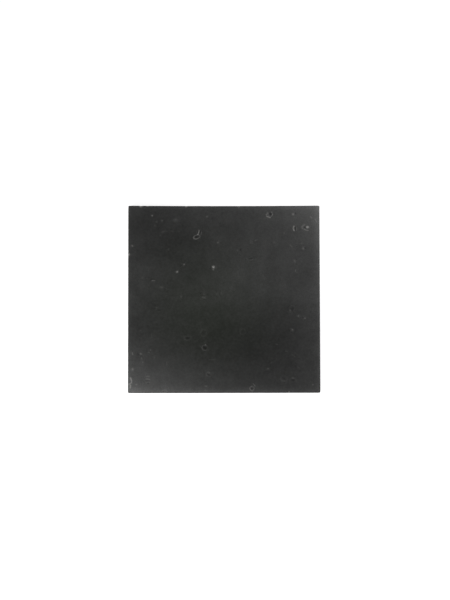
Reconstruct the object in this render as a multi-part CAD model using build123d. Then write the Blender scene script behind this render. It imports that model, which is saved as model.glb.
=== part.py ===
from build123d import *
from math import asin, degrees, floor
import os

# A square glazed ceramic tile, die-pressed and fired as one piece. It lies on its back:
# +Z points out of the glazed face, X runs across its width and Y along its depth,
# and the origin is the middle of the plane that the back rests on.
# Every size is in millimetres, as fired.

# Outline
WIDTH = 101.0
DEPTH = 99.0
THICKNESS = 8.0
CORNER_RADIUS = 0.8

# Glazed face: flat in the middle, easing down along all four edges to a rounded arris
EASE_WIDTH = 4.5
EASE_DROP = 0.25
ARRIS_RADIUS = 0.5

# Sides: an upright land under the arris, then a foot drawn in towards the back
LAND_HEIGHT = 3.75
FOOT_DRAW_IN = 0.6
FOOT_CHAMFER = 0.3

# Key pressed into the back: square pockets between ribs, with sloping walls
POCKET_SIZE = 12.0
POCKET_DEPTH = 0.7
POCKET_WALL_DRAFT = 30.0
POCKET_CORNER_RADIUS = 1.6
RIB_WIDTH = 3.0
LEAST_MARGIN = 5.0

# How far the easing curve runs on past the sides, to be trimmed by them
EASE_OVERSHOOT = 1.0

# Worked out from the sizes above
LAND_FOOT = THICKNESS - EASE_DROP - LAND_HEIGHT
EASE_RADIUS = (EASE_WIDTH**2 + EASE_DROP**2) / (2 * EASE_DROP)
EASE_ANGLE = degrees(asin((EASE_WIDTH + EASE_OVERSHOOT) / EASE_RADIUS))


def plan(inset, height):
    """The outline seen from above, drawn in by inset, at a height above the back."""
    outline = RectangleRounded(WIDTH - 2 * inset, DEPTH - 2 * inset, CORNER_RADIUS)
    return Plane.XY.offset(height) * outline


def sides():
    """The block between the four sides: land above, drawn-in foot with a broken edge below."""
    land_outline = plan(0, LAND_FOOT)
    foot_outline = plan(FOOT_DRAW_IN, FOOT_CHAMFER)
    back_outline = plan(FOOT_DRAW_IN + FOOT_CHAMFER, 0)
    land = extrude(land_outline, THICKNESS - LAND_FOOT)
    return land + loft([back_outline, foot_outline, land_outline], ruled=True)


def face_curve(span):
    """Half the face cut across: flat, then the easing arc, run on past the edge of the tile."""
    flat = Line((0, THICKNESS), (span / 2 - EASE_WIDTH, THICKNESS))
    return flat + JernArc(flat @ 1, flat % 1, EASE_RADIUS, -EASE_ANGLE)


def under_face():
    """All that lies under the glazed face: its curve across the width, swept along the depth."""
    curve = face_curve(WIDTH)
    start = curve @ 0
    end = curve @ 1
    depth_below = Polyline(start, (start.X, -THICKNESS), (end.X, -THICKNESS), end)
    section = Plane.XZ * make_face([curve, depth_below])
    quarter = sweep(section, Plane.YZ * face_curve(DEPTH))
    half = quarter + mirror(quarter, Plane.YZ)
    return half + mirror(half, Plane.XZ)


def arris_edges(body):
    """The edges where the glazed face meets the four lands and the rounded corners."""
    upright = body.faces().filter_by(lambda face: abs(face.normal_at().Z) < 0.01)
    mid_land = LAND_FOOT + LAND_HEIGHT / 2
    return upright.edges().filter_by(lambda edge: edge.bounding_box().min.Z > mid_land)


def pocket():
    """One pocket of the key: its mouth on the back plane, its walls sloping in to the floor."""
    mouth = RectangleRounded(POCKET_SIZE, POCKET_SIZE, POCKET_CORNER_RADIUS)
    return extrude(mouth, POCKET_DEPTH, taper=POCKET_WALL_DRAFT)


def pockets_along(span):
    """How many pockets fit along one side, with the least margin left at both ends."""
    pitch = POCKET_SIZE + RIB_WIDTH
    room = span - 2 * (FOOT_DRAW_IN + FOOT_CHAMFER + LEAST_MARGIN)
    return floor((room + RIB_WIDTH) / pitch)


def back_key():
    """The whole waffle of pockets, centred on the back."""
    pitch = POCKET_SIZE + RIB_WIDTH
    grid = GridLocations(pitch, pitch, pockets_along(WIDTH), pockets_along(DEPTH))
    return grid * pocket()


body = sides() & under_face()
body = fillet(arris_edges(body), ARRIS_RADIUS)
tile = body - back_key()

os.makedirs("parts", exist_ok=True)
export_step(tile, "parts/tile.step")
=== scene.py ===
import math

import bmesh
import bpy
from mathutils import Matrix, Vector, kdtree, noise


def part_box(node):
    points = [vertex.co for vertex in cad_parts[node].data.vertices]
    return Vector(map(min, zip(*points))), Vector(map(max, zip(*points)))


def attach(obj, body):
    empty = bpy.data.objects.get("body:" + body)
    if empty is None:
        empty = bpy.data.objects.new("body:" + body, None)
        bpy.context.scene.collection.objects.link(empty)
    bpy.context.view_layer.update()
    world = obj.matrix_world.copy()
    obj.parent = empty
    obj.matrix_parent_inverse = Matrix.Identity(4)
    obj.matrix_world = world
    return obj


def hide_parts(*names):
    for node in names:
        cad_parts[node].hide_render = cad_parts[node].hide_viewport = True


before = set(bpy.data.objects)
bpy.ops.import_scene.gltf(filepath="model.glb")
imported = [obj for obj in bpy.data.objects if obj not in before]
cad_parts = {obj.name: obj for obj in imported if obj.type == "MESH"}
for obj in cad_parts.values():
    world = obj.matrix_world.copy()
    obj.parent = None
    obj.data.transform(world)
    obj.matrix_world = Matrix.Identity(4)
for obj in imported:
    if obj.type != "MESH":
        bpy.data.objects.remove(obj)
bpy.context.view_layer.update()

# The piece is modelled in millimetres, and brought to metres at the end
METRES = 0.001

# The pressed form, as the part's source gives it
_, TILE_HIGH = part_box("tile")
HALF_WIDTH = round(TILE_HIGH.x / METRES, 3)
HALF_DEPTH = round(TILE_HIGH.y / METRES, 3)
THICKNESS = round(TILE_HIGH.z / METRES, 3)
EASE_WIDTH = 4.5
EASE_DROP = 0.25
ARRIS_RADIUS = 0.5
LAND_HEIGHT = 3.75
FOOT_DRAW_IN = 0.6
FOOT_CHAMFER = 0.3
POCKET_SIZE = 12.0
POCKET_DEPTH = 0.7
POCKET_WALL_DRAFT = math.radians(30)
POCKET_CORNER_RADIUS = 1.6
RIB_WIDTH = 3.0
POCKETS_ALONG = 6

# This tile's upright corners, a little sharper than the source's
CORNER_RADIUS = 0.62

# Rounding that the firing leaves on edges that the die made sharp
RIB_ROUNDING = 0.14
POCKET_FLOOR_ROUNDING = 0.23
FOOT_ROUNDING = 0.07

# Room left under the part's height for what stands up from the face, and how much may be filled
LIP_ROOM = 0.06
LIP_SHARE = 0.95

# Where the glaze ends on the sides, how it wanders, and how wide and how thick its edge is
GLAZE_LINE = 3.5
GLAZE_WANDER = 0.7
GLAZE_WAVE = 11.0
GLAZE_EDGE = 0.3
GLAZE_STEP = 0.08

# Short waves in that edge: how long, how strong, and the height at which their noise is read
RIPPLE_WAVE = 2.5
RIPPLE_SHARE = 0.35
RIPPLE_LAYER = 4.0

# The thick roll just over that edge: how far over it, how wide, and how deep the glaze lies beside it
ROLL_ABOVE = 0.5
ROLL_WIDTH = 0.35
GLAZE_ROLL = 0.03

# Painted sheen, a pale tone laid into the glaze's colour where the light's sheen falls: how strong it is
# all over the face
EVEN_PAINTED_SHEEN = 0.027

# Two bands of painted sheen along the rim, where the eased edge catches the light, one over the other:
# how strong each is and how far it spreads
RIM_PAINTED_SHEEN = ((0.16, 16.0), (0.08, 2.0))

# A painted highlight close along the right and the far edge: how strong it is and how far it spreads
RIGHT_PAINTED_HIGHLIGHT = 0.12
FAR_PAINTED_HIGHLIGHT = 0.07
PAINTED_HIGHLIGHT_SPREAD = 1.7

# Patches of painted sheen on the face, most of it in the near left and far right corners, and painted
# shade where a patch is negative: x, y, how far each spreads, how strong it is
PAINTED_SHEEN_PATCHES = (
    (-50.0, -50.0, 5.0, 0.08),
    (-50.0, -50.0, 13.0, 0.13),
    (-50.0, -50.0, 31.0, 0.15),
    (50.0, 50.0, 4.0, 0.15),
    (50.0, 50.0, 13.0, 0.14),
    (50.0, 50.0, 31.0, 0.215),
    (-50.0, 50.0, 6.0, 0.24),
    (50.0, -50.0, 6.0, 0.16),
    (14.0, 14.0, 22.0, 0.20),
    (-26.0, 12.0, 18.0, 0.11),
    (-48.0, 16.0, 10.0, 0.05),
    (4.0, 11.0, 15.0, 0.07),
    (28.0, 14.0, 16.0, 0.04),
    (50.0, 5.0, 9.0, 0.07),
    (-12.0, 47.0, 12.0, 0.07),
    (-14.0, -47.0, 12.0, 0.05),
    (-50.0, -17.0, 13.0, -0.09),
    (50.0, -4.0, 9.0, 0.12),
    (50.5, -28.0, 7.0, 0.08),
    (50.5, -42.0, 8.0, 0.08),
    (50.0, 40.0, 7.0, 0.07),
    (36.0, 3.0, 7.0, 0.05),
    (-6.0, 2.0, 9.0, 0.06),
    (-17.0, -2.0, 8.0, 0.04),
    (-3.0, 29.0, 6.0, 0.07),
    (-25.0, -13.0, 9.0, 0.03),
    (-28.0, -50.0, 9.0, 0.05),
    (-29.0, 50.0, 5.0, 0.05),
    (-41.0, -14.0, 8.0, -0.04),
    (1.0, 14.0, 6.0, -0.05),
    (9.0, -27.0, 13.0, -0.04),
)

# Where the glaze has a faint olive cast: x, y, how far it spreads
OLIVE_CAST = (-8.0, -1.0, 33.0)

# How far the firing has drawn in the middle of the far edge, and the right end of the near edge
FAR_EDGE_DRAW = 0.24
NEAR_EDGE_DRAW = 0.18

# How finely the skin is divided
FACE_CELLS = 100
ARRIS_STRIPS = 6
CORNER_STRIPS = 6
FOOT_STRIPS = 2
POCKET_STRIPS = 3
POCKET_CORNER_STRIPS = 5
SUPPORT = 0.3
CLOSE_SUPPORT = 0.12
ARRIS_SUPPORT = 0.9
RING_PITCH = 0.3

# Cuts through the cells round every mark and chip, and how far round about them
FIRST_CUTS = 3
ROUND_ABOUT = 0.7

# More cuts through the cells in the chips and in each mark that shows clearly
SECOND_CUTS = 1
CLEAR_MARK = 0.3

# Upward part of a normal: level faces have more than this, steep and upright ones less than theirs
LEVEL = 0.9
STEEP = 0.5
UPRIGHT = 0.1

# The bevel profile that makes an arc of a circle
ROUND_PROFILE = 0.5

# Differences that count as none: in a length, and in the number of a row of cells
TINY = 1e-4
ROW_SLACK = 0.1

# Worked out from the sizes above
LAND_TOP = THICKNESS - EASE_DROP
LAND_FOOT = LAND_TOP - LAND_HEIGHT
EASE_RADIUS = (EASE_WIDTH**2 + EASE_DROP**2) / (2 * EASE_DROP)
EDGE_SLOPE = math.asin(EASE_WIDTH / EASE_RADIUS)
ARRIS_REACH = ARRIS_RADIUS * math.tan((math.pi / 2 - EDGE_SLOPE) / 2)
ARRIS_FOOT = LAND_TOP - EASE_DROP - ARRIS_REACH
HIGHEST_LIP = LIP_SHARE * LIP_ROOM


def face_height(x, y):
    """The glazed face: flat, easing down in a long arc along the edges and a ball at the corners."""
    past_x = max(0.0, abs(x) - (HALF_WIDTH - EASE_WIDTH))
    past_y = max(0.0, abs(y) - (HALF_DEPTH - EASE_WIDTH))
    fall = EASE_RADIUS - math.sqrt(EASE_RADIUS**2 - past_x**2 - past_y**2)
    return THICKNESS - LIP_ROOM - fall


def foot_inset(height):
    """How far the drawn-in foot stands back from the land at a height above the back."""
    share = (LAND_FOOT - height) / (LAND_FOOT - FOOT_CHAMFER)
    return FOOT_DRAW_IN * min(1.0, max(0.0, share))


def smooth_step(share):
    """Rises from zero to one with no kink at either end."""
    share = min(1.0, max(0.0, share))
    return share * share * (3.0 - 2.0 * share)


def lobe(offset, width):
    """A bell curve: one in the middle, next to nothing two widths away."""
    return math.exp(-((offset / width) ** 2))


def along_and_across(dx, dy, turned):
    """The parts of an offset along a direction and across it."""
    cosine = math.cos(turned)
    sine = math.sin(turned)
    return dx * cosine + dy * sine, dy * cosine - dx * sine


def arc_points(x, y, radius, turns):
    return [(x + radius * math.cos(turn), y + radius * math.sin(turn)) for turn in turns]


# How wide a spot's bell curve is and how far it reaches, in its sizes, and a ridge's reach in widths
SPOT_BELL = 0.55
SPOT_REACH = 1.3
RIDGE_REACH = 2.2

# How far apart the spots along a ridge lie
SPOT_PITCH = 0.8

# How fast a ridge fades in from its ends, and how much of the fade it starts with
FADE_IN = 6.0
BLUNT_END = 0.25

# Lumps per millimetre along a ragged ridge
RAGGED_LUMPS = 2.0

# How steeply the bowl of a popped bubble falls from its lip
BOWL_STEEPNESS = 1.5

# Runs in a crescent, and how far inside it its hollow lies and how wide that is, in ridge widths
CRESCENT_RUNS = 8
HOLLOW_INSIDE = 2.0
HOLLOW_WIDTH = 1.3

# Marks that the firing left in the face: the spots each covers, its relief, how strongly it shows
MARKS = []


def add_mark(spots, relief, shows):
    """A relief gives, at a place, the glaze's height, how pale its lip is, partly glaze thinning over
    the lip and partly a painted glint, and how dark its hollow is with painted shade.
    """
    MARKS.append((spots, relief, shows))


def popped_bubble(x, y, across, along=None, turn=0.0, depth=0.10, lip=0.045, width=0.2,
                  heavy=225.0, lean=0.75, pale=0.6, dark=0.5):
    """A bubble that burst in the glaze: a shallow bowl whose lip is heavier, and paler with a painted
    glint, towards one side, and whose bowl is dark with painted shade.
    """
    half_u = across / 2
    half_v = (along or across) / 2
    turned = math.radians(turn)
    towards = math.radians(heavy)

    def relief(px, py):
        dx = px - x
        dy = py - y
        along_it, across_it = along_and_across(dx, dy, turned)
        ratio = math.hypot(along_it / half_u, across_it / half_v)
        beyond = (ratio - 1.0) * min(half_u, half_v)
        weight = 1.0 - lean * (0.5 - 0.5 * math.cos(math.atan2(dy, dx) - towards))
        ridge = weight * lobe(beyond, width)
        bowl = max(0.0, 1.0 - ratio * ratio) ** BOWL_STEEPNESS
        return lip * ridge - depth * bowl, pale * ridge, dark * bowl

    reach = max(half_u, half_v) + RIDGE_REACH * width
    add_mark([(x, y, reach)], relief, max(pale, dark))


def ridge_line(points, width=0.22, height=0.04, pale=0.5, dark=0.0, ragged=0.0):
    """A narrow raised line through the points, its ends run out; a negative height cuts it in. Its
    paleness is partly a painted glint, its darkness painted shade.
    """
    runs = list(zip(points, points[1:]))
    lengths = [math.dist(start, end) for start, end in runs]
    whole = sum(lengths)

    def relief(px, py):
        nearest = math.inf
        along = 0.0
        passed = 0.0
        for (start, end), length in zip(runs, lengths):
            run_x = (end[0] - start[0]) / length
            run_y = (end[1] - start[1]) / length
            ahead = (px - start[0]) * run_x + (py - start[1]) * run_y
            ahead = min(length, max(0.0, ahead))
            away = math.hypot(px - start[0] - ahead * run_x, py - start[1] - ahead * run_y)
            if away < nearest:
                nearest = away
                along = (passed + ahead) / whole
            passed += length
        taper = smooth_step(FADE_IN * min(along, 1.0 - along) + BLUNT_END)
        broken = 1.0 + ragged * noise.noise(Vector((RAGGED_LUMPS * px, RAGGED_LUMPS * py, 0.0)))
        ridge = taper * lobe(nearest, width * broken)
        return height * ridge, pale * ridge, dark * ridge

    spots = []
    for (start, end), length in zip(runs, lengths):
        steps = max(1, math.ceil(length / SPOT_PITCH))
        for step in range(steps + 1):
            share = step / steps
            spot_x = start[0] + share * (end[0] - start[0])
            spot_y = start[1] + share * (end[1] - start[1])
            spots.append((spot_x, spot_y, RIDGE_REACH * width))
    add_mark(spots, relief, max(pale, dark))


def crescent(x, y, radius, start, stop, width=0.22, height=0.045, pale=0.6, hollow=0.06, dark=0.4):
    """Part of a ring, from one angle to another, with a hollow beside it on the inside, darkened with
    painted shade.
    """
    sweep = stop - start
    turns = [math.radians(start + sweep * step / CRESCENT_RUNS) for step in range(CRESCENT_RUNS + 1)]
    ridge_line(arc_points(x, y, radius, turns), width, height, pale)
    if hollow:
        inner = radius - HOLLOW_INSIDE * width
        ridge_line(arc_points(x, y, inner, turns[1:-1]), HOLLOW_WIDTH * width, -hollow, 0.0, dark)


def pimple(x, y, size, height=0.045, stretch=1.0, turn=0.0, pale=0.6):
    """A grain or an unburst bubble under the glaze, standing up from the face, its paleness partly a
    painted glint.
    """
    turned = math.radians(turn)

    def relief(px, py):
        along_it, across_it = along_and_across(px - x, py - y, turned)
        rise = lobe(math.hypot(along_it / stretch, across_it), SPOT_BELL * size)
        return height * rise, pale * rise, 0.0

    add_mark([(x, y, SPOT_REACH * size * max(1.0, stretch))], relief, pale)


def hollow_spot(x, y, size, depth=0.03, dark=0.9):
    """A shallow dimple where gas came through and the glaze closed again, darkened with painted shade.
    """

    def relief(px, py):
        sink = lobe(math.hypot(px - x, py - y), SPOT_BELL * size)
        return -depth * sink, 0.0, dark * sink

    add_mark([(x, y, SPOT_REACH * size)], relief, dark)


def far_side_marks():
    """Marks along the far side of the face."""
    popped_bubble(-14.3, 33.0, 3.4, 2.0, turn=18, depth=0.07, lip=0.05, width=0.25, heavy=250,
                  lean=0.6, pale=0.68, dark=0.3)
    ridge_line([(-13.9, 34.0), (-13.4, 35.1), (-13.0, 36.8)], width=0.24, pale=0.8)
    pimple(-13.8, 34.3, 0.8, height=0.05, pale=0.95)
    ridge_line([(-12.6, 34.9), (-12.4, 36.6)], width=0.3, height=-0.05, pale=0.0, dark=0.7)
    ridge_line([(-12.1, 34.1), (-11.9, 35.9)], width=0.24, height=0.025, pale=0.45)
    ridge_line([(22.2, 44.2), (22.8, 43.8), (23.6, 43.5), (24.3, 43.2), (24.8, 43.4)], width=0.32,
               height=0.045, pale=0.78)
    ridge_line([(24.8, 43.7), (25.3, 44.1), (25.6, 44.8), (25.5, 45.5)], width=0.24, height=0.03,
               pale=0.62)
    pimple(25.2, 46.0, 0.7, height=0.025, pale=0.6)
    popped_bubble(24.35, 44.95, 2.2, depth=0.08, lip=0.015, width=0.25, lean=0.3, pale=0.15, dark=1.0)
    ridge_line([(22.2, 44.4), (22.7, 45.1), (23.3, 45.9)], width=0.46, height=0.02, pale=0.5)
    pimple(36.5, 44.9, 1.0, height=0.035, stretch=1.2, turn=120, pale=0.7)
    hollow_spot(37.8, 45.2, 0.8, dark=1.0)
    crescent(38.7, 37.4, 2.1, 134, 226, width=0.34, height=0.055, pale=0.97, dark=0.6)
    crescent(36.5, 37.2, 1.9, -30, 25, width=0.24, height=0.02, pale=0.4, hollow=0.0)
    pimple(44.05, 37.98, 1.2, height=0.055, stretch=1.3, pale=1.25)
    hollow_spot(42.75, 37.9, 0.9, dark=1.0)
    ridge_line([(43.0, 39.3), (42.0, 39.0), (41.3, 38.4), (41.2, 37.6), (41.7, 36.9)], width=0.5,
               height=0.02, pale=0.45)
    ridge_line([(41.9, 37.2), (42.7, 36.7), (43.6, 36.3), (44.8, 36.2)], width=0.34, height=0.03,
               pale=0.57)
    ridge_line([(45.4, 43.7), (46.6, 42.7)], width=0.4, height=0.02, pale=0.45)
    ridge_line([(48.0, 42.2), (48.9, 40.5)], width=0.4, height=0.02, pale=0.4)


def middle_marks():
    """Marks from the middle of the face up to the far side."""
    pimple(-5.52, 16.87, 1.25, height=0.058, pale=1.3)
    ridge_line([(-5.6, 16.5), (-5.7, 15.0)], width=0.3, height=0.03, pale=0.55)
    hollow_spot(-7.2, 16.0, 0.6, dark=0.5)
    pimple(-24.65, 14.4, 0.92, height=0.055, stretch=1.3, turn=25, pale=0.84)
    hollow_spot(-23.2, 15.0, 0.6, dark=0.5)
    pimple(-21.0, 18.3, 0.85, height=0.045, stretch=1.2, pale=0.55)
    hollow_spot(-22.3, 17.8, 0.6, dark=0.5)
    pimple(-37.6, 9.7, 0.75, height=0.045, stretch=1.1, pale=0.48)
    ridge_line([(-37.8, 9.7), (-36.1, 9.6)], width=0.25, height=0.03, pale=0.35)
    pimple(-3.2, 30.0, 1.0, height=0.045, pale=0.47)
    hollow_spot(-1.8, 29.7, 0.6, dark=0.3)
    pimple(-10.6, 0.9, 1.3, height=0.03, stretch=1.7, pale=0.28)
    pimple(-10.3, 2.6, 1.0, height=0.015, stretch=1.3, pale=0.15)
    hollow_spot(-12.5, 3.1, 0.6, dark=0.6)
    ridge_line([(-12.2, 2.0), (-10.6, 1.7), (-9.2, 2.0)], width=0.22, height=-0.025, pale=0.0, dark=0.5)


def near_side_marks():
    """Marks on the near half of the face."""
    popped_bubble(-19.1, -20.5, 3.7, 2.2, depth=0.04, lip=0.02, width=0.34, heavy=270, lean=0.5,
                  pale=0.14, dark=0.5)
    popped_bubble(-10.1, -25.6, 2.9, depth=0.09, lip=0.03, width=0.3, heavy=200, lean=0.6,
                  pale=0.25, dark=0.8)
    pimple(-9.8, -24.0, 0.8, height=0.045, pale=0.4)
    ridge_line([(-8.3, -32.0), (-4.9, -32.0)], width=0.22, height=0.02, pale=0.16)
    popped_bubble(-8.0, -39.7, 2.6, 2.1, turn=-20, depth=0.06, lip=0.03, width=0.28, heavy=160,
                  lean=0.6, pale=0.16, dark=0.5)
    pimple(-7.9, -38.7, 0.8, height=0.03, stretch=1.3, pale=0.2)
    popped_bubble(14.6, -47.1, 2.2, depth=0.07, lip=0.035, width=0.3, lean=0.4, pale=0.56, dark=0.6)
    ridge_line([(15.1, -44.5), (16.4, -46.1)], width=0.25, height=0.025, pale=0.5)
    popped_bubble(35.7, -5.1, 2.8, 3.3, depth=0.05, lip=0.02, width=0.3, lean=0.4, pale=0.16, dark=0.4)
    pimple(34.65, -6.1, 1.0, height=0.03, pale=0.27)
    pimple(39.1, -9.0, 1.05, height=0.04, pale=0.38)
    pimple(42.5, -10.2, 0.8, height=0.045, stretch=1.2, turn=-20, pale=0.52)
    hollow_spot(41.5, -10.0, 0.5, dark=0.6)
    pimple(35.9, -16.4, 1.15, height=0.03, stretch=1.35, turn=-40, pale=0.4)


def far_right_marks():
    """More marks in the far right quarter."""
    ridge_line([(34.5, 28.9), (36.0, 27.3)], width=0.3, height=0.02, pale=0.28)
    pimple(41.7, 26.7, 0.95, height=0.03, stretch=1.4, turn=90, pale=0.46)
    hollow_spot(42.9, 26.7, 0.7, dark=0.9)
    pimple(40.9, 29.5, 0.9, height=0.015, pale=0.22)
    pimple(37.3, 19.9, 1.1, height=0.02, stretch=1.6, turn=-60, pale=0.3)
    ridge_line([(37.6, 15.6), (37.6, 14.2)], width=0.24, height=0.03, pale=0.4)
    pimple(38.4, 13.9, 0.7, height=0.02, pale=0.2)
    pimple(31.7, 34.9, 1.0, height=0.02, pale=0.28)
    pimple(26.5, 29.9, 1.1, height=0.02, pale=0.24)
    ridge_line([(12.6, 20.3), (14.5, 20.6), (15.9, 21.3)], width=0.35, height=0.02, pale=0.18)
    ridge_line([(13.2, 21.2), (14.6, 21.6), (16.1, 21.6)], width=0.36, height=-0.04, pale=0.0, dark=0.6)
    pimple(12.0, 21.2, 0.8, height=0.02, pale=0.25)
    ridge_line([(8.6, 26.9), (8.7, 25.6)], width=0.3, height=-0.03, pale=0.0, dark=0.9)
    pimple(7.2, 25.8, 1.2, height=0.015, pale=0.2)
    hollow_spot(8.1, 23.2, 0.55, dark=0.6)
    hollow_spot(12.2, 26.6, 0.5, dark=0.4)
    pimple(14.6, 30.1, 1.4, height=0.02, stretch=1.2, pale=0.2)
    pimple(16.7, 31.1, 0.7, height=0.03, stretch=1.6, turn=20, pale=0.35)


def far_left_marks():
    """More marks in the far left quarter."""
    pimple(-37.8, 44.2, 0.85, height=0.03, pale=0.7)
    pimple(-32.7, 41.6, 0.9, height=0.03, stretch=1.2, turn=-45, pale=0.42)
    pimple(-35.6, 40.9, 0.9, height=0.02, pale=0.25)
    pimple(-25.6, 42.0, 1.5, height=0.02, stretch=1.6, pale=0.27)
    pimple(-36.4, 38.9, 1.3, height=0.02, pale=0.22)
    pimple(-32.0, 35.7, 0.9, height=0.02, stretch=2.2, turn=20, pale=0.22)
    pimple(-27.2, 36.0, 0.7, height=0.02, stretch=2.2, pale=0.2)
    pimple(-23.6, 35.9, 0.9, height=0.015, pale=0.15)
    pimple(-33.6, 33.8, 0.7, height=0.02, pale=0.25)
    pimple(-29.3, 26.2, 0.8, height=0.02, stretch=1.4, turn=90, pale=0.22)
    pimple(-48.3, 28.1, 0.9, height=0.04, stretch=1.4, turn=-30, pale=0.6)
    pimple(-42.8, 11.1, 0.9, height=0.02, pale=0.2)
    pimple(-32.7, 6.2, 0.9, height=0.02, stretch=1.8, turn=-5, pale=0.25)
    pimple(-30.4, 5.6, 0.7, height=0.015, pale=0.15)
    pimple(-22.5, 1.1, 1.0, height=0.02, pale=0.22)
    pimple(-30.2, 1.8, 0.6, height=0.02, pale=0.15)


def near_left_marks():
    """More marks in the near left quarter."""
    pimple(-35.4, -4.6, 1.0, height=0.02, pale=0.2)
    hollow_spot(-36.4, -3.2, 0.6, dark=0.4)
    hollow_spot(-34.4, -3.3, 0.6, dark=0.4)
    hollow_spot(-34.5, -5.5, 0.5, dark=0.3)
    pimple(-34.2, -6.6, 0.6, height=0.02, pale=0.2)
    pimple(-44.0, -16.6, 0.9, height=0.02, pale=0.2)
    ridge_line([(-38.1, -18.0), (-38.1, -20.5)], width=0.3, height=0.015, pale=0.15)
    pimple(-48.0, -37.0, 1.2, height=0.035, stretch=1.3, turn=90, pale=0.48)
    ridge_line([(-49.0, -40.9), (-48.9, -41.9), (-48.5, -42.9), (-48.5, -43.9), (-49.2, -44.5),
                (-50.5, -44.8)], width=0.32, height=0.045, pale=0.73, ragged=0.7)
    ridge_line([(-49.5, -44.9), (-49.0, -45.6), (-49.1, -46.2), (-49.4, -47.1)], width=0.34,
               height=0.04, pale=0.7, ragged=0.7)
    pimple(-49.1, -41.7, 1.0, height=0.03, pale=0.45)
    crescent(-40.1, -42.8, 2.2, 58, 118, width=0.38, height=0.02, pale=0.28, hollow=0.0)
    crescent(-40.2, -44.4, 2.3, 50, 118, width=0.36, height=0.02, pale=0.33, hollow=0.03, dark=0.4)
    crescent(-39.8, -45.9, 2.2, 62, 128, width=0.32, height=0.015, pale=0.2, hollow=0.03, dark=0.4)
    pimple(-46.0, -45.0, 0.9, height=0.02, stretch=1.3, pale=0.42)
    pimple(-43.7, -28.9, 0.8, height=0.025, stretch=1.5, turn=-20, pale=0.42)
    ridge_line([(-43.5, -30.6), (-43.1, -31.8)], width=0.32, height=0.02, pale=0.28)
    pimple(-42.7, -33.3, 0.7, height=0.025, pale=0.3)
    hollow_spot(-45.1, -29.2, 0.7, dark=0.8)
    hollow_spot(-45.0, -30.7, 0.6, dark=0.6)
    hollow_spot(-42.8, -29.9, 0.5, dark=0.5)
    pimple(-38.6, -26.9, 0.9, height=0.02, pale=0.3)
    pimple(-39.4, -28.2, 0.7, height=0.02, stretch=1.3, pale=0.25)
    ridge_line([(-48.2, -28.0), (-47.9, -29.6)], width=0.34, height=0.025, pale=0.44)
    pimple(-36.6, -30.8, 1.1, height=0.015, pale=0.15)
    ridge_line([(-30.0, -32.9), (-30.1, -34.7)], width=0.24, height=0.02, pale=0.2)
    ridge_line([(-30.8, -33.8), (-30.9, -35.1)], width=0.24, height=-0.02, pale=0.0, dark=0.3)
    pimple(-46.3, -47.0, 2.2, height=0.01, stretch=1.4, pale=0.12)
    popped_bubble(-31.3, -48.8, 2.6, 2.0, depth=0.02, lip=0.015, width=0.32, heavy=45, lean=0.4,
                  pale=0.24, dark=0.3)
    popped_bubble(-10.7, -17.9, 3.2, 3.6, depth=0.015, lip=0.012, width=0.4, lean=0.2, pale=0.12,
                  dark=0.1)


def near_right_marks():
    """More marks in the near right quarter."""
    popped_bubble(9.8, -17.3, 3.0, 3.0, depth=0.012, lip=0.012, width=0.4, lean=0.2, pale=0.1, dark=0.1)
    ridge_line([(27.1, -23.9), (28.4, -24.3)], width=0.32, height=0.02, pale=0.2)
    ridge_line([(31.8, -27.6), (33.4, -27.9)], width=0.24, height=0.02, pale=0.2)
    ridge_line([(35.2, -29.1), (37.7, -30.8)], width=0.42, height=0.015, pale=0.13)
    hollow_spot(38.7, -24.2, 0.7, dark=0.3)
    pimple(24.8, -33.7, 1.0, height=0.015, pale=0.18)
    pimple(22.9, -36.8, 0.8, height=0.03, stretch=1.3, pale=0.34)
    hollow_spot(22.9, -38.8, 0.9, dark=0.25)
    pimple(39.3, -36.4, 0.8, height=0.015, stretch=2.4, turn=-35, pale=0.15)
    popped_bubble(36.1, -42.9, 3.0, 1.9, depth=0.03, lip=0.015, width=0.4, lean=0.2, pale=0.08,
                  dark=0.8)
    pimple(36.0, -41.6, 1.0, height=0.03, stretch=1.4, pale=0.28)
    popped_bubble(31.4, -42.1, 3.4, 2.6, depth=0.012, lip=0.015, width=0.4, heavy=270, lean=0.8,
                  pale=0.2, dark=0.1)
    pimple(46.6, -45.3, 0.7, height=0.03, pale=0.5)


def scattered_marks():
    """A few more marks, scattered down the middle."""
    pimple(-9.5, -45.9, 1.0, height=0.025, stretch=1.3, pale=0.3)
    pimple(-9.9, -48.1, 0.9, height=0.02, stretch=1.9, pale=0.25)
    pimple(-8.9, 43.8, 1.0, height=0.025, pale=0.42)
    ridge_line([(20.6, 12.8), (21.3, 10.0)], width=0.35, height=0.012, pale=0.12)
    pimple(19.6, 8.0, 1.2, height=0.01, stretch=1.4, turn=90, pale=0.12)
    pimple(-3.6, 2.6, 1.0, height=0.01, stretch=1.6, turn=90, pale=0.14)
    ridge_line([(-1.6, 4.3), (-1.2, 1.9)], width=0.34, height=0.01, pale=0.08)
    pimple(4.0, 5.3, 1.1, height=0.01, stretch=1.5, turn=-30, pale=0.1)


def marks_of_firing():
    """The marks of this tile's face, each given one by one."""
    far_side_marks()
    middle_marks()
    near_side_marks()
    far_right_marks()
    far_left_marks()
    near_left_marks()
    near_right_marks()
    scattered_marks()


# How lumpy a chip's outline is: lumps per millimetre, and how far they move it
CHIP_LUMPS = 2.5
CHIP_RAGGEDNESS = 0.6

# How far down from the top of the lands the chips may go
CHIP_BAND = 3 * ARRIS_RADIUS

# Small chips along the arris: x, y, how far each one reaches, and its depth
ARRIS_CHIPS = (
    (-43.8, 49.1, 1.0, 0.24),
    (-40.4, 49.3, 0.6, 0.13),
    (-19.8, 49.1, 0.75, 0.17),
    (7.9, 49.1, 0.85, 0.20),
    (-50.2, 23.5, 0.95, 0.22),
    (-50.4, 25.6, 0.55, 0.13),
    (-31.3, -49.4, 0.7, 0.18),
    (-37.8, -49.4, 0.55, 0.15),
    (14.5, -49.3, 0.55, 0.15),
    (34.0, -49.2, 0.5, 0.14),
    (50.4, 8.0, 0.5, 0.14),
)


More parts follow.
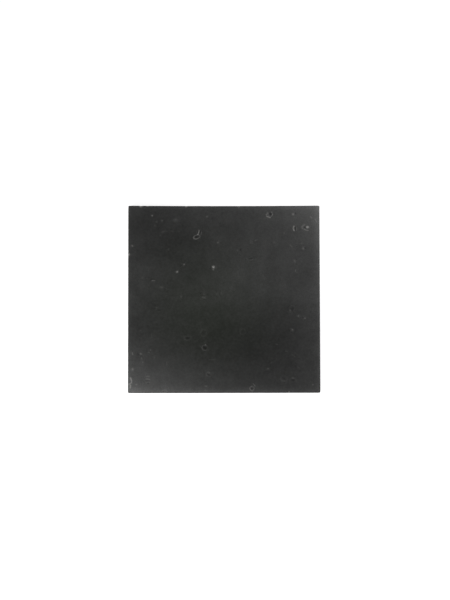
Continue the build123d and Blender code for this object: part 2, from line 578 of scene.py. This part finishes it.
def glazed_face():
    """The face as a grid of cells, its outermost row narrow, so that the arris stays crisp."""
    bm = bmesh.new()
    bmesh.ops.create_grid(bm, x_segments=FACE_CELLS, y_segments=FACE_CELLS, size=1.0)
    bmesh.ops.scale(bm, verts=bm.verts, vec=(HALF_WIDTH, HALF_DEPTH, 1.0))
    for vert in bm.verts:
        for axis, half in ((0, HALF_WIDTH), (1, HALF_DEPTH)):
            row = (half - abs(vert.co[axis])) / (2 * half / FACE_CELLS)
            if abs(row - 1) < ROW_SLACK:
                vert.co[axis] = math.copysign(half - ARRIS_SUPPORT, vert.co[axis])
        vert.co.z = face_height(vert.co.x, vert.co.y)
    return bm


def land_rings():
    """Inset and height of each ring that the lands are drawn down through, from under the arris."""
    height = ARRIS_FOOT - SUPPORT
    rings = []
    while height > LAND_FOOT + SUPPORT:
        rings.append((0.0, height))
        height -= RING_PITCH
    rings.append((0.0, LAND_FOOT + CLOSE_SUPPORT))
    rings.append((0.0, LAND_FOOT))
    return rings


def foot_rings():
    """Inset and height of each ring that the foot is drawn down through, to its border on the back."""
    height = LAND_FOOT - CLOSE_SUPPORT
    rings = []
    while height > FOOT_CHAMFER + SUPPORT + RING_PITCH:
        rings.append((foot_inset(height), height))
        height -= RING_PITCH
    height = FOOT_CHAMFER + SUPPORT
    rings.append((foot_inset(height), height))
    rings.append((FOOT_DRAW_IN, FOOT_CHAMFER))
    rings.append((FOOT_DRAW_IN + FOOT_CHAMFER, 0.0))
    rings.append((FOOT_DRAW_IN + FOOT_CHAMFER + SUPPORT, 0.0))
    return rings


def soften(bm, edges, offset, strips):
    """Rounds edges off, each in a number of strips."""
    bmesh.ops.bevel(bm, geom=edges, offset=offset, segments=strips, profile=ROUND_PROFILE,
                    affect="EDGES", material=-1, clamp_overlap=False)


def draw_down(bm, rings):
    """Extrudes the open rim of the skin down, ring by ring."""
    rim = [edge for edge in bm.edges if edge.is_boundary]
    half_x = HALF_WIDTH
    half_y = HALF_DEPTH
    for inset, height in rings:
        drawn = bmesh.ops.extrude_edge_only(bm, edges=rim)["geom"]
        for vert in drawn:
            if isinstance(vert, bmesh.types.BMVert):
                vert.co.x *= (HALF_WIDTH - inset) / half_x
                vert.co.y *= (HALF_DEPTH - inset) / half_y
                vert.co.z = height
        half_x = HALF_WIDTH - inset
        half_y = HALF_DEPTH - inset
        rim = [part for part in drawn if isinstance(part, bmesh.types.BMEdge) and part.is_boundary]


def at_corner(vert):
    """Whether a vert stands at one of the four upright corners."""
    return abs(vert.co.x) > HALF_WIDTH - TINY and abs(vert.co.y) > HALF_DEPTH - TINY


def draw_sides_down(bm):
    """Draws the lands down, rounds their four upright corners, and draws the foot down from them."""
    draw_down(bm, land_rings())
    upright = [edge for edge in bm.edges if all(at_corner(vert) for vert in edge.verts)]
    soften(bm, upright, CORNER_RADIUS, CORNER_STRIPS)
    draw_down(bm, foot_rings())


def level_edges(bm, height):
    """The edges of the sides that lie level at a height."""
    return [edge for edge in bm.edges if all(abs(vert.co.z - height) < TINY for vert in edge.verts)
            and any(abs(face.normal.z) < LEVEL for face in edge.link_faces)]


def round_edges(bm):
    """Rounds the arris between face and land, and takes the sharpness off the foot's edges."""
    bm.normal_update()
    arris = [edge for edge in bm.edges if len(edge.link_faces) == 2
             and max(abs(face.normal.z) for face in edge.link_faces) > LEVEL
             and min(abs(face.normal.z) for face in edge.link_faces) < UPRIGHT
             and edge.verts[0].co.z > LAND_FOOT]
    soften(bm, arris, ARRIS_REACH, ARRIS_STRIPS)
    bm.normal_update()
    soften(bm, level_edges(bm, FOOT_CHAMFER) + level_edges(bm, 0.0), FOOT_ROUNDING, FOOT_STRIPS)


def back_pocket(bm, middle):
    """One pocket of the key, from a flat border round its mouth to its floor, with rounded edges."""
    border = POCKET_SIZE / 2 + SUPPORT
    made = bmesh.ops.create_grid(bm, x_segments=1, y_segments=1, size=border,
                                 matrix=Matrix.Translation(middle))
    rounded = bmesh.ops.bevel(bm, geom=made["verts"], offset=POCKET_CORNER_RADIUS + SUPPORT,
                              segments=POCKET_CORNER_STRIPS, profile=ROUND_PROFILE,
                              affect="VERTICES", material=-1)
    floor = rounded["verts"][0].link_faces[0]
    bmesh.ops.inset_individual(bm, faces=[floor], thickness=SUPPORT, use_even_offset=True)
    mouth = list(floor.edges)
    wall_run = POCKET_DEPTH * math.tan(POCKET_WALL_DRAFT)
    bmesh.ops.inset_individual(bm, faces=[floor], thickness=wall_run, depth=POCKET_DEPTH,
                               use_even_offset=True)
    foot = list(floor.edges)
    bmesh.ops.inset_individual(bm, faces=[floor], thickness=2 * SUPPORT, use_even_offset=True)
    soften(bm, mouth, RIB_ROUNDING, POCKET_STRIPS)
    soften(bm, foot, POCKET_FLOOR_ROUNDING, POCKET_STRIPS)


def waffle_key(bm):
    """Lays out the pockets of the key and fills the ribs and margins of the back between them."""
    pitch = POCKET_SIZE + RIB_WIDTH
    first = -pitch * (POCKETS_ALONG - 1) / 2
    for row in range(POCKETS_ALONG):
        for column in range(POCKETS_ALONG):
            back_pocket(bm, Vector((first + column * pitch, first + row * pitch, 0.0)))
    bmesh.ops.remove_doubles(bm, verts=bm.verts, dist=TINY)
    open_loops = [edge for edge in bm.edges if edge.is_boundary]
    bmesh.ops.triangle_fill(bm, use_beauty=True, edges=open_loops, normal=(0.0, 0.0, -1.0))
    bmesh.ops.recalc_face_normals(bm, faces=bm.faces)


def plan_tree(places):
    """A search tree over places as they lie seen from above."""
    tree = kdtree.KDTree(len(places))
    for index, place in enumerate(places):
        tree.insert((place.x, place.y, 0.0), index)
    tree.balance()
    return tree


def divide_near(bm, spots, room, cuts):
    """Divides the cells near the spots, so that fine marks have cells to stand in."""
    faces = [face for face in bm.faces if face.calc_center_median().z > ARRIS_FOOT]
    tree = plan_tree([face.calc_center_median() for face in faces])
    chosen = set()
    for x, y, reach in spots:
        for _, index, _ in tree.find_range((x, y, 0.0), reach + room):
            chosen.update(faces[index].edges)
    bmesh.ops.subdivide_edges(bm, edges=list(chosen), cuts=cuts, use_grid_fill=True)


def split_cells(bm):
    """Splits all cells into well-shaped triangles, also where small cells meet large ones."""
    bmesh.ops.triangulate(bm, faces=bm.faces, quad_method="BEAUTY", ngon_method="BEAUTY")


def raise_marks(bm, thin_and_glint, deep):
    """Moves the face's verts by the marks near them, and notes where lips are pale, from glaze thinning
    and painted glints, and where hollows are dark with painted shade.
    """
    verts = [vert for vert in bm.verts if vert.co.z > LAND_TOP - EASE_DROP and vert.normal.z > LEVEL]
    tree = plan_tree([vert.co for vert in verts])
    rises = [0.0] * len(verts)
    for spots, relief, _ in MARKS:
        near = set()
        for x, y, reach in spots:
            near.update(index for _, index, _ in tree.find_range((x, y, 0.0), reach))
        for index in near:
            vert = verts[index]
            height, pale, dark = relief(vert.co.x, vert.co.y)
            rises[index] += height
            vert[thin_and_glint] = max(vert[thin_and_glint], pale)
            vert[deep] = max(vert[deep], dark)
    for vert, height in zip(verts, rises):
        vert.co.z += min(height, HIGHEST_LIP)


def painted_sheen_strength(x, y):
    """How strong the painted sheen is at a place on the face."""
    from_edge = min(HALF_WIDTH - abs(x), HALF_DEPTH - abs(y))
    strength = EVEN_PAINTED_SHEEN + sum(share * lobe(from_edge, spread) for share, spread in RIM_PAINTED_SHEEN)
    strength += RIGHT_PAINTED_HIGHLIGHT * lobe(HALF_WIDTH - x, PAINTED_HIGHLIGHT_SPREAD)
    strength += FAR_PAINTED_HIGHLIGHT * lobe(HALF_DEPTH - y, PAINTED_HIGHLIGHT_SPREAD)
    for patch_x, patch_y, spread, middle in PAINTED_SHEEN_PATCHES:
        strength += middle * lobe(math.hypot(x - patch_x, y - patch_y), spread)
    return max(0.0, strength)


def olive_share(x, y):
    """How olive the glaze is at a place: most near the middle of the face, little along the rim."""
    cast_x, cast_y, spread = OLIVE_CAST
    return lobe(math.hypot(x - cast_x, y - cast_y), spread)


def warp_edges(bm):
    """Draws in the middle of the far edge and the right end of the near edge, as firing does."""
    for vert in bm.verts:
        across = vert.co.x / HALF_WIDTH
        bow = 1.0 - across**2
        taper = 0.5 + 0.5 * across
        vert.co.y -= FAR_EDGE_DRAW * bow * smooth_step(vert.co.y / HALF_DEPTH)
        vert.co.y += NEAR_EDGE_DRAW * taper * smooth_step(-vert.co.y / HALF_DEPTH)


def chip_arris(bm, bare):
    """Takes the small chips out of the arris: each is at its deepest within about half its reach."""
    bm.normal_update()
    upper = [vert for vert in bm.verts if vert.co.z > LAND_TOP - CHIP_BAND]
    for x, y, reach, depth in ARRIS_CHIPS:
        middle = Vector((x, y, LAND_TOP - ARRIS_RADIUS / 2))
        for vert in upper:
            away = (vert.co - middle).length
            if away < 2 * reach:
                ragged = 1.0 + CHIP_RAGGEDNESS * noise.noise(CHIP_LUMPS * vert.co)
                bite = smooth_step(2.0 - 2.0 * away / (reach * ragged))
                vert.co -= vert.normal * depth * bite
                vert[bare] = max(vert[bare], bite)


def glaze_sides(bm, cover):
    """Notes how far above the edge of the glaze each vert lies, and draws the bare body in under it."""
    bm.normal_update()
    for vert in bm.verts:
        wander = noise.noise(Vector((vert.co.x / GLAZE_WAVE, vert.co.y / GLAZE_WAVE, 0.0)))
        ripple = noise.noise(Vector((vert.co.x / RIPPLE_WAVE, vert.co.y / RIPPLE_WAVE, RIPPLE_LAYER)))
        line = GLAZE_LINE + GLAZE_WANDER * (wander + RIPPLE_SHARE * ripple)
        glazed = 0.5 + (vert.co.z - line) / GLAZE_EDGE / 2
        vert[cover] = glazed
        if abs(vert.normal.z) < STEEP and vert.co.z < ARRIS_FOOT:
            roll = lobe(vert.co.z - line - ROLL_ABOVE, ROLL_WIDTH)
            share = smooth_step(glazed)
            step = GLAZE_STEP * (1.0 - share) + GLAZE_ROLL * share * (1.0 - roll)
            across = Vector((vert.normal.x, vert.normal.y, 0.0)).normalized()
            vert.co -= across * step


def divided_skin():
    """The pressed form as one closed skin, divided most finely where the marks and chips will be."""
    chips = [(x, y, reach) for x, y, reach, _ in ARRIS_CHIPS]
    marked = [spot for spots, _, _ in MARKS for spot in spots]
    clearly_marked = [spot for spots, _, shows in MARKS if shows >= CLEAR_MARK for spot in spots]
    bm = glazed_face()
    draw_sides_down(bm)
    round_edges(bm)
    waffle_key(bm)
    divide_near(bm, marked + chips, ROUND_ABOUT, FIRST_CUTS)
    divide_near(bm, clearly_marked + chips, 0.0, SECOND_CUTS)
    split_cells(bm)
    return bm


def put_in_scene(name, bm):
    """Makes an object of a finished mesh and puts it in the scene."""
    mesh = bpy.data.meshes.new(name)
    bm.to_mesh(mesh)
    bm.free()
    made = bpy.data.objects.new(name, mesh)
    bpy.context.scene.collection.objects.link(made)
    return made


def glazed_tile():
    """The whole tile as one closed piece, with what its glaze shows as values at its verts."""
    marks_of_firing()
    bm = divided_skin()
    thin_and_glint = bm.verts.layers.float.new("thin_glaze_and_glint")
    deep = bm.verts.layers.float.new("hollow")
    bare = bm.verts.layers.float.new("chipped")
    cover = bm.verts.layers.float.new("glaze_cover")
    painted_sheen = bm.verts.layers.float.new("painted_sheen")
    olive = bm.verts.layers.float.new("olive_cast")
    # Painted sheen, and the olive cast of the glaze, at each vert
    for vert in bm.verts:
        vert[painted_sheen] = painted_sheen_strength(vert.co.x, vert.co.y)
        vert[olive] = olive_share(vert.co.x, vert.co.y)
    bm.normal_update()
    raise_marks(bm, thin_and_glint, deep)
    chip_arris(bm, bare)
    glaze_sides(bm, cover)
    warp_edges(bm)
    bmesh.ops.scale(bm, verts=bm.verts, vec=(METRES, METRES, METRES))
    bmesh.ops.recalc_face_normals(bm, faces=bm.faces)
    for face in bm.faces:
        face.smooth = True
    return put_in_scene("glazed_tile", bm)


# Materials: each colour as linear red, green and blue

GLAZE_DARK = (0.0035, 0.0035, 0.0034, 1.0)
GLAZE_PALE = (0.0049, 0.0049, 0.0048, 1.0)
GLAZE_OLIVE = (0.0027, 0.0055, 0.0008, 1.0)
# Pale colour laid over the glaze as painted sheen and painted edge highlights
PAINTED_SHEEN_COLOUR = (0.1005, 0.1012, 0.0995, 1.0)
# Lips: paler where the glaze thins, and painted glints
LIP_AND_GLINT_COLOUR = (0.25, 0.245, 0.235, 1.0)
# Painted shade in the hollows of the marks
HOLLOW_SHADE_COLOUR = (0.004, 0.004, 0.004, 1.0)
BROKEN_COLOUR = (0.17, 0.165, 0.155, 1.0)
BODY_DARK = (0.060, 0.057, 0.053, 1.0)
BODY_PALE = (0.115, 0.108, 0.098, 1.0)
BODY_STAIN = (0.14, 0.125, 0.105, 1.0)
WASH_COLOUR = (0.52, 0.50, 0.46, 1.0)

# Grain of the glaze, of the painted sheen over it and of the body: the size of its specks and of its
# mottle
GLAZE_GRAIN = (0.5, 9.0)
PAINTED_SHEEN_GRAIN = (1.2, 3.0)
BODY_GRAIN = (0.22, 4.0)

# How much fine detail the specks and the mottle have, and how rough both are
SPECK_DETAIL = 2.0
MOTTLE_DETAIL = 3.0
GRAIN_ROUGHNESS = 0.55

# The middle of a grain's values, and the range that nearly all of them lie in
GRAIN_MIDDLE = 0.5
GRAIN_RANGE = (0.3, 0.7)

# Narrower ranges, which give the mottle, the stains and the kiln wash their contrast
MOTTLE_RANGE = (0.35, 0.65)
STAIN_RANGE = (0.4, 0.7)
WASH_PATCH_RANGE = (0.36, 0.62)
WASH_GRIT_RANGE = (0.35, 0.6)

# How far the specks move the edge of the glaze, and the range of cover over which it ends
EDGE_SPECKS = 0.35
EDGE_RANGE = (0.42, 0.58)

# How much the painted sheen varies with the mottle and the specks of the glaze, and with its own grain
SHEEN_BY_MOTTLE = (0.87, 1.13)
SHEEN_BY_SPECKS = (0.75, 1.25)
SHEEN_BY_OWN_SPECKS = 0.24
SHEEN_BY_OWN_MOTTLE = 0.08

# How pale a lip is, from glaze thinning over it and from a painted glint, where it is faint, and how
# much more of that comes with its strength
FAINT_LIP = 0.3
STRONG_LIP = 0.7

# How strongly the painted shade in hollows, the chips and the stains show
HOLLOW_SHADE_SHARE = 0.8
CHIP_SHARE = 0.9
STAIN_SHARE = 0.4

# Kiln wash: the heights between which it fades out, and how strong it is by patch and by grit
WASH_FADE = (0.04 * METRES, 0.3 * METRES)
WASH_BY_PATCH = (0.3, 1.0)
WASH_BY_GRIT = (0.45, 0.9)

# Roughness of the glaze and of the body, and how much chips add and hollows take away
SATIN = (0.375, 0.425)
MATT = (0.78, 0.95)
CHIP_ROUGHER = 0.4
HOLLOW_SMOOTHER = 0.13

# Height of the fine grain that stands in the surface of the body and of the glaze
BODY_RELIEF = 0.05
GLAZE_RELIEF = 0.009

# How strongly glaze bends light
GLAZE_IOR = 1.5


def add_node(tree, kind, values=None, **settings):
    """A node with its settings and the values of its named sockets."""
    made = tree.nodes.new(kind)
    for name, value in settings.items():
        setattr(made, name, value)
    for name, value in (values or {}).items():
        made.inputs[name].default_value = value
    return made


def math_node(tree, operation, *values):
    made = add_node(tree, "ShaderNodeMath", operation=operation)
    for socket, value in zip(made.inputs, values):
        if isinstance(value, (int, float)):
            socket.default_value = value
        else:
            tree.links.new(value, socket)
    return made.outputs[0]


def map_range(tree, value, across, onto=(0.0, 1.0)):
    """Maps the range across onto another one, and keeps what lies outside it at its ends."""
    limits = {"From Min": across[0], "From Max": across[1], "To Min": onto[0], "To Max": onto[1]}
    made = add_node(tree, "ShaderNodeMapRange", limits)
    tree.links.new(value, made.inputs["Value"])
    return made.outputs["Result"]


def mix_value(tree, share, first, second):
    made = add_node(tree, "ShaderNodeMix", data_type="FLOAT")
    for name, value in (("Factor", share), ("A", first), ("B", second)):
        tree.links.new(value, made.inputs[name])
    return made.outputs["Result"]


def mix_colour(tree, share, first, second):
    made = add_node(tree, "ShaderNodeMix", data_type="RGBA")
    sockets = [socket for socket in made.inputs if socket.type == "RGBA"]
    for socket, value in zip(sockets, (first, second)):
        if isinstance(value, tuple):
            socket.default_value = value
        else:
            tree.links.new(value, socket)
    tree.links.new(share, made.inputs["Factor"])
    return next(socket for socket in made.outputs if socket.type == "RGBA")


def attribute(tree, name):
    return add_node(tree, "ShaderNodeAttribute", attribute_name=name).outputs["Fac"]


def grain_group():
    """Grain at two scales: a fine speck and a slow mottle, read in the piece's own coordinates."""
    group = bpy.data.node_groups.new("fired_grain", "ShaderNodeTree")
    for name in ("Speck Size", "Mottle Size"):
        group.interface.new_socket(name, in_out="INPUT", socket_type="NodeSocketFloat")
    for name in ("Speck", "Mottle"):
        group.interface.new_socket(name, in_out="OUTPUT", socket_type="NodeSocketFloat")
    inside = add_node(group, "NodeGroupInput")
    outside = add_node(group, "NodeGroupOutput")
    place = add_node(group, "ShaderNodeTexCoord").outputs["Object"]
    for name, detail in (("Speck", SPECK_DETAIL), ("Mottle", MOTTLE_DETAIL)):
        scale = math_node(group, "DIVIDE", 1.0 / METRES, inside.outputs[name + " Size"])
        pattern = add_node(group, "ShaderNodeTexNoise", {"Detail": detail, "Roughness": GRAIN_ROUGHNESS})
        group.links.new(place, pattern.inputs["Vector"])
        group.links.new(scale, pattern.inputs["Scale"])
        group.links.new(pattern.outputs["Fac"], outside.inputs[name])
    return group


def grain(tree, group, sizes):
    """The specks and the mottle of a grain: values that lie about a half."""
    speck, mottle = sizes
    made = add_node(tree, "ShaderNodeGroup", node_tree=group)
    made.inputs["Speck Size"].default_value = speck
    made.inputs["Mottle Size"].default_value = mottle
    return made.outputs["Speck"], made.outputs["Mottle"]


def glaze_cover(tree, specks):
    """Whether a place on the sides is glazed, with an edge that the specks make uneven."""
    moved = math_node(tree, "MULTIPLY_ADD", specks, EDGE_SPECKS, -EDGE_SPECKS * GRAIN_MIDDLE)
    cover = math_node(tree, "ADD", attribute(tree, "glaze_cover"), moved)
    return map_range(tree, cover, EDGE_RANGE)


def painted_sheen_share(tree, group, specks, mottle):
    """How strongly the painted sheen covers the glaze, uneven at every scale of the grain."""
    by_mottle = map_range(tree, mottle, GRAIN_RANGE, SHEEN_BY_MOTTLE)
    by_specks = map_range(tree, specks, GRAIN_RANGE, SHEEN_BY_SPECKS)
    painted_sheen = math_node(tree, "MULTIPLY", attribute(tree, "painted_sheen"), by_mottle)
    painted_sheen = math_node(tree, "MULTIPLY", painted_sheen, by_specks)
    own_grain = grain(tree, group, PAINTED_SHEEN_GRAIN)
    for pattern, strength in zip(own_grain, (SHEEN_BY_OWN_SPECKS, SHEEN_BY_OWN_MOTTLE)):
        about_none = math_node(tree, "SUBTRACT", pattern, GRAIN_MIDDLE)
        painted_sheen = math_node(tree, "MULTIPLY_ADD", about_none, strength, painted_sheen)
    return painted_sheen


def glaze_colour(tree, group, specks, mottle):
    """Near-black glaze with its olive cast and painted sheen, lips pale from thinning glaze and painted
    glints, hollows dark with painted shade, and broken chips.
    """
    thin_and_glint = attribute(tree, "thin_glaze_and_glint")
    lip = math_node(tree, "MULTIPLY", thin_and_glint, math_node(tree, "MULTIPLY_ADD", thin_and_glint, STRONG_LIP, FAINT_LIP))
    hollow = math_node(tree, "MULTIPLY", attribute(tree, "hollow"), HOLLOW_SHADE_SHARE)
    chip = math_node(tree, "MULTIPLY", attribute(tree, "chipped"), CHIP_SHARE)
    glaze = mix_colour(tree, map_range(tree, mottle, MOTTLE_RANGE), GLAZE_DARK, GLAZE_PALE)
    glaze = mix_colour(tree, attribute(tree, "olive_cast"), glaze, GLAZE_OLIVE)
    # Painted sheen over the glaze's colour
    glaze = mix_colour(tree, painted_sheen_share(tree, group, specks, mottle), glaze, PAINTED_SHEEN_COLOUR)
    glaze = mix_colour(tree, lip, glaze, LIP_AND_GLINT_COLOUR)
    glaze = mix_colour(tree, hollow, glaze, HOLLOW_SHADE_COLOUR)
    return mix_colour(tree, chip, glaze, BROKEN_COLOUR)


def kiln_wash(tree, grit, patch):
    """How much kiln wash lies on a place: only what the tile rests on has any."""
    place = add_node(tree, "ShaderNodeSeparateXYZ")
    tree.links.new(add_node(tree, "ShaderNodeTexCoord").outputs["Object"], place.inputs[0])
    low = map_range(tree, place.outputs["Z"], WASH_FADE, (1.0, 0.0))
    by_patch = map_range(tree, patch, WASH_PATCH_RANGE, WASH_BY_PATCH)
    by_grit = map_range(tree, grit, WASH_GRIT_RANGE, WASH_BY_GRIT)
    return math_node(tree, "MULTIPLY", math_node(tree, "MULTIPLY", low, by_patch), by_grit)


def body_colour(tree, grit, patch):
    """The dark fired body, stained in patches, with kiln wash on the ribs."""
    stain = math_node(tree, "MULTIPLY", map_range(tree, patch, STAIN_RANGE), STAIN_SHARE)
    body = mix_colour(tree, map_range(tree, grit, GRAIN_RANGE), BODY_DARK, BODY_PALE)
    body = mix_colour(tree, stain, body, BODY_STAIN)
    return mix_colour(tree, kiln_wash(tree, grit, patch), body, WASH_COLOUR)


def roughness(tree, cover, mottle, grit):
    """Satin where the glaze covers, smoother in its hollows and rougher in its chips, else matt."""
    satin = map_range(tree, mottle, GRAIN_RANGE, SATIN)
    satin = math_node(tree, "MULTIPLY_ADD", attribute(tree, "chipped"), CHIP_ROUGHER, satin)
    satin = math_node(tree, "MULTIPLY_ADD", attribute(tree, "hollow"), -HOLLOW_SMOOTHER, satin)
    return mix_value(tree, cover, map_range(tree, grit, GRAIN_RANGE, MATT), satin)


def fine_relief(tree, cover, specks, grit):
    """The finest grain, which stands in the surface of the body and less in that of the glaze."""
    on_body = math_node(tree, "MULTIPLY", grit, BODY_RELIEF)
    on_glaze = math_node(tree, "MULTIPLY", specks, GLAZE_RELIEF)
    bump = add_node(tree, "ShaderNodeBump", {"Strength": 1.0, "Distance": METRES})
    tree.links.new(mix_value(tree, cover, on_body, on_glaze), bump.inputs["Height"])
    return bump.outputs["Normal"]


def black_glaze_material():
    """Satin black glaze over the face and lands, the fired body bare below it, kiln wash on the ribs."""
    material = bpy.data.materials.new("satin_black_glaze")
    material.use_nodes = True
    tree = material.node_tree
    shader = tree.nodes["Principled BSDF"]
    shader.inputs["IOR"].default_value = GLAZE_IOR
    group = grain_group()
    specks, mottle = grain(tree, group, GLAZE_GRAIN)
    grit, patch = grain(tree, group, BODY_GRAIN)
    cover = glaze_cover(tree, specks)
    body = body_colour(tree, grit, patch)
    glaze = glaze_colour(tree, group, specks, mottle)
    tree.links.new(mix_colour(tree, cover, body, glaze), shader.inputs["Base Color"])
    tree.links.new(roughness(tree, cover, mottle, grit), shader.inputs["Roughness"])
    tree.links.new(fine_relief(tree, cover, specks, grit), shader.inputs["Normal"])
    return material


# Floor and light, with lengths in metres

WHITE = (1.0, 1.0, 1.0, 1.0)
FLOOR_HALF = 3.0
FLOOR_COLOUR = (0.82, 0.82, 0.82, 1.0)
FLOOR_ROUGHNESS = 0.9

# How much of its own light the floor adds for the camera, and how strong the even surround is
FLOOR_LIFT = 0.7
EVEN_LIGHT = 0.17

# The middle of the tile's back, and of its face
BACK_MIDDLE = (0.0, 0.0, 0.0)
FACE_MIDDLE = (0.0, 0.0, 0.008)


def floor_material():
    """A pale floor that the camera sees as white, but for the shadow of the tile."""
    material = bpy.data.materials.new("pale_floor")
    material.use_nodes = True
    tree = material.node_tree
    shader = tree.nodes["Principled BSDF"]
    shader.inputs["Base Color"].default_value = FLOOR_COLOUR
    shader.inputs["Roughness"].default_value = FLOOR_ROUGHNESS
    shader.inputs["Specular IOR Level"].default_value = 0.0
    seen = add_node(tree, "ShaderNodeLightPath")
    lift = math_node(tree, "MAXIMUM", seen.outputs["Is Camera Ray"], seen.outputs["Is Glossy Ray"])
    lift = math_node(tree, "MAXIMUM", lift, seen.outputs["Is Transmission Ray"])
    shader.inputs["Emission Color"].default_value = WHITE
    tree.links.new(math_node(tree, "MULTIPLY", lift, FLOOR_LIFT), shader.inputs["Emission Strength"])
    return material


def pale_floor():
    bm = bmesh.new()
    bmesh.ops.create_grid(bm, x_segments=1, y_segments=1, size=FLOOR_HALF)
    floor = put_in_scene("floor", bm)
    floor.data.materials.append(floor_material())


def soft_light(name, place, target, size, strength):
    lamp = bpy.data.lights.new(name, "AREA")
    lamp.shape = "SQUARE"
    lamp.size = size
    lamp.energy = strength
    holder = bpy.data.objects.new(name, lamp)
    holder.location = place
    holder.rotation_euler = (Vector(target) - Vector(place)).to_track_quat("-Z", "Y").to_euler()
    holder.visible_camera = False
    bpy.context.scene.collection.objects.link(holder)


def studio_light():
    """An even white surround, a key high in front, and two low panels that sheen opposite corners."""
    world = bpy.data.worlds.new("studio")
    world.use_nodes = True
    tree = world.node_tree
    tree.nodes.clear()
    seen = add_node(tree, "ShaderNodeLightPath")
    even = add_node(tree, "ShaderNodeBackground", {"Color": WHITE, "Strength": EVEN_LIGHT})
    white = add_node(tree, "ShaderNodeBackground", {"Color": WHITE, "Strength": 1.0})
    mix = add_node(tree, "ShaderNodeMixShader")
    out = add_node(tree, "ShaderNodeOutputWorld")
    tree.links.new(seen.outputs["Is Camera Ray"], mix.inputs[0])
    tree.links.new(even.outputs[0], mix.inputs[1])
    tree.links.new(white.outputs[0], mix.inputs[2])
    tree.links.new(mix.outputs[0], out.inputs["Surface"])
    bpy.context.scene.world = world
    soft_light("key", place=(0.0, -0.375, 0.935), target=BACK_MIDDLE, size=0.35, strength=0.8)
    soft_light("near_panel", place=(-0.11, -0.11, 0.09), target=FACE_MIDDLE, size=0.1, strength=0.225)
    soft_light("far_panel", place=(0.13, 0.13, 0.18), target=FACE_MIDDLE, size=0.16, strength=0.23)


# The camera stands nearly straight above the tile, a little in front of it
CAMERA_PLACE = Vector((-0.0060, -0.0812, 1.0383))
CAMERA_TARGET = Vector((0.000510, -0.000580, 0.008))
CAMERA_ROLL = math.radians(-0.078)
CAMERA_LENS = 117.94
SENSOR = 36.0
CLIP_START = 0.01
CLIP_END = 50.0


def set_camera():
    camera = bpy.data.cameras.new("camera")
    camera.lens = CAMERA_LENS
    camera.sensor_width = SENSOR
    camera.sensor_fit = "AUTO"
    camera.clip_start = CLIP_START
    camera.clip_end = CLIP_END
    holder = bpy.data.objects.new("camera", camera)
    look = (CAMERA_TARGET - CAMERA_PLACE).normalized()
    right = look.cross(Vector((0.0, 1.0, 0.0))).normalized()
    above = right.cross(look)
    rolled_right = math.cos(CAMERA_ROLL) * right + math.sin(CAMERA_ROLL) * above
    rolled_above = rolled_right.cross(look)
    turn = Matrix((rolled_right, rolled_above, -look)).transposed()
    holder.matrix_world = Matrix.Translation(CAMERA_PLACE) @ turn.to_4x4()
    bpy.context.scene.collection.objects.link(holder)
    bpy.context.scene.camera = holder


tile = glazed_tile()
tile.data.materials.append(black_glaze_material())
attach(tile, "root")
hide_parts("tile")
pale_floor()
studio_light()
set_camera()
bpy.context.scene.view_settings.view_transform = "Standard"
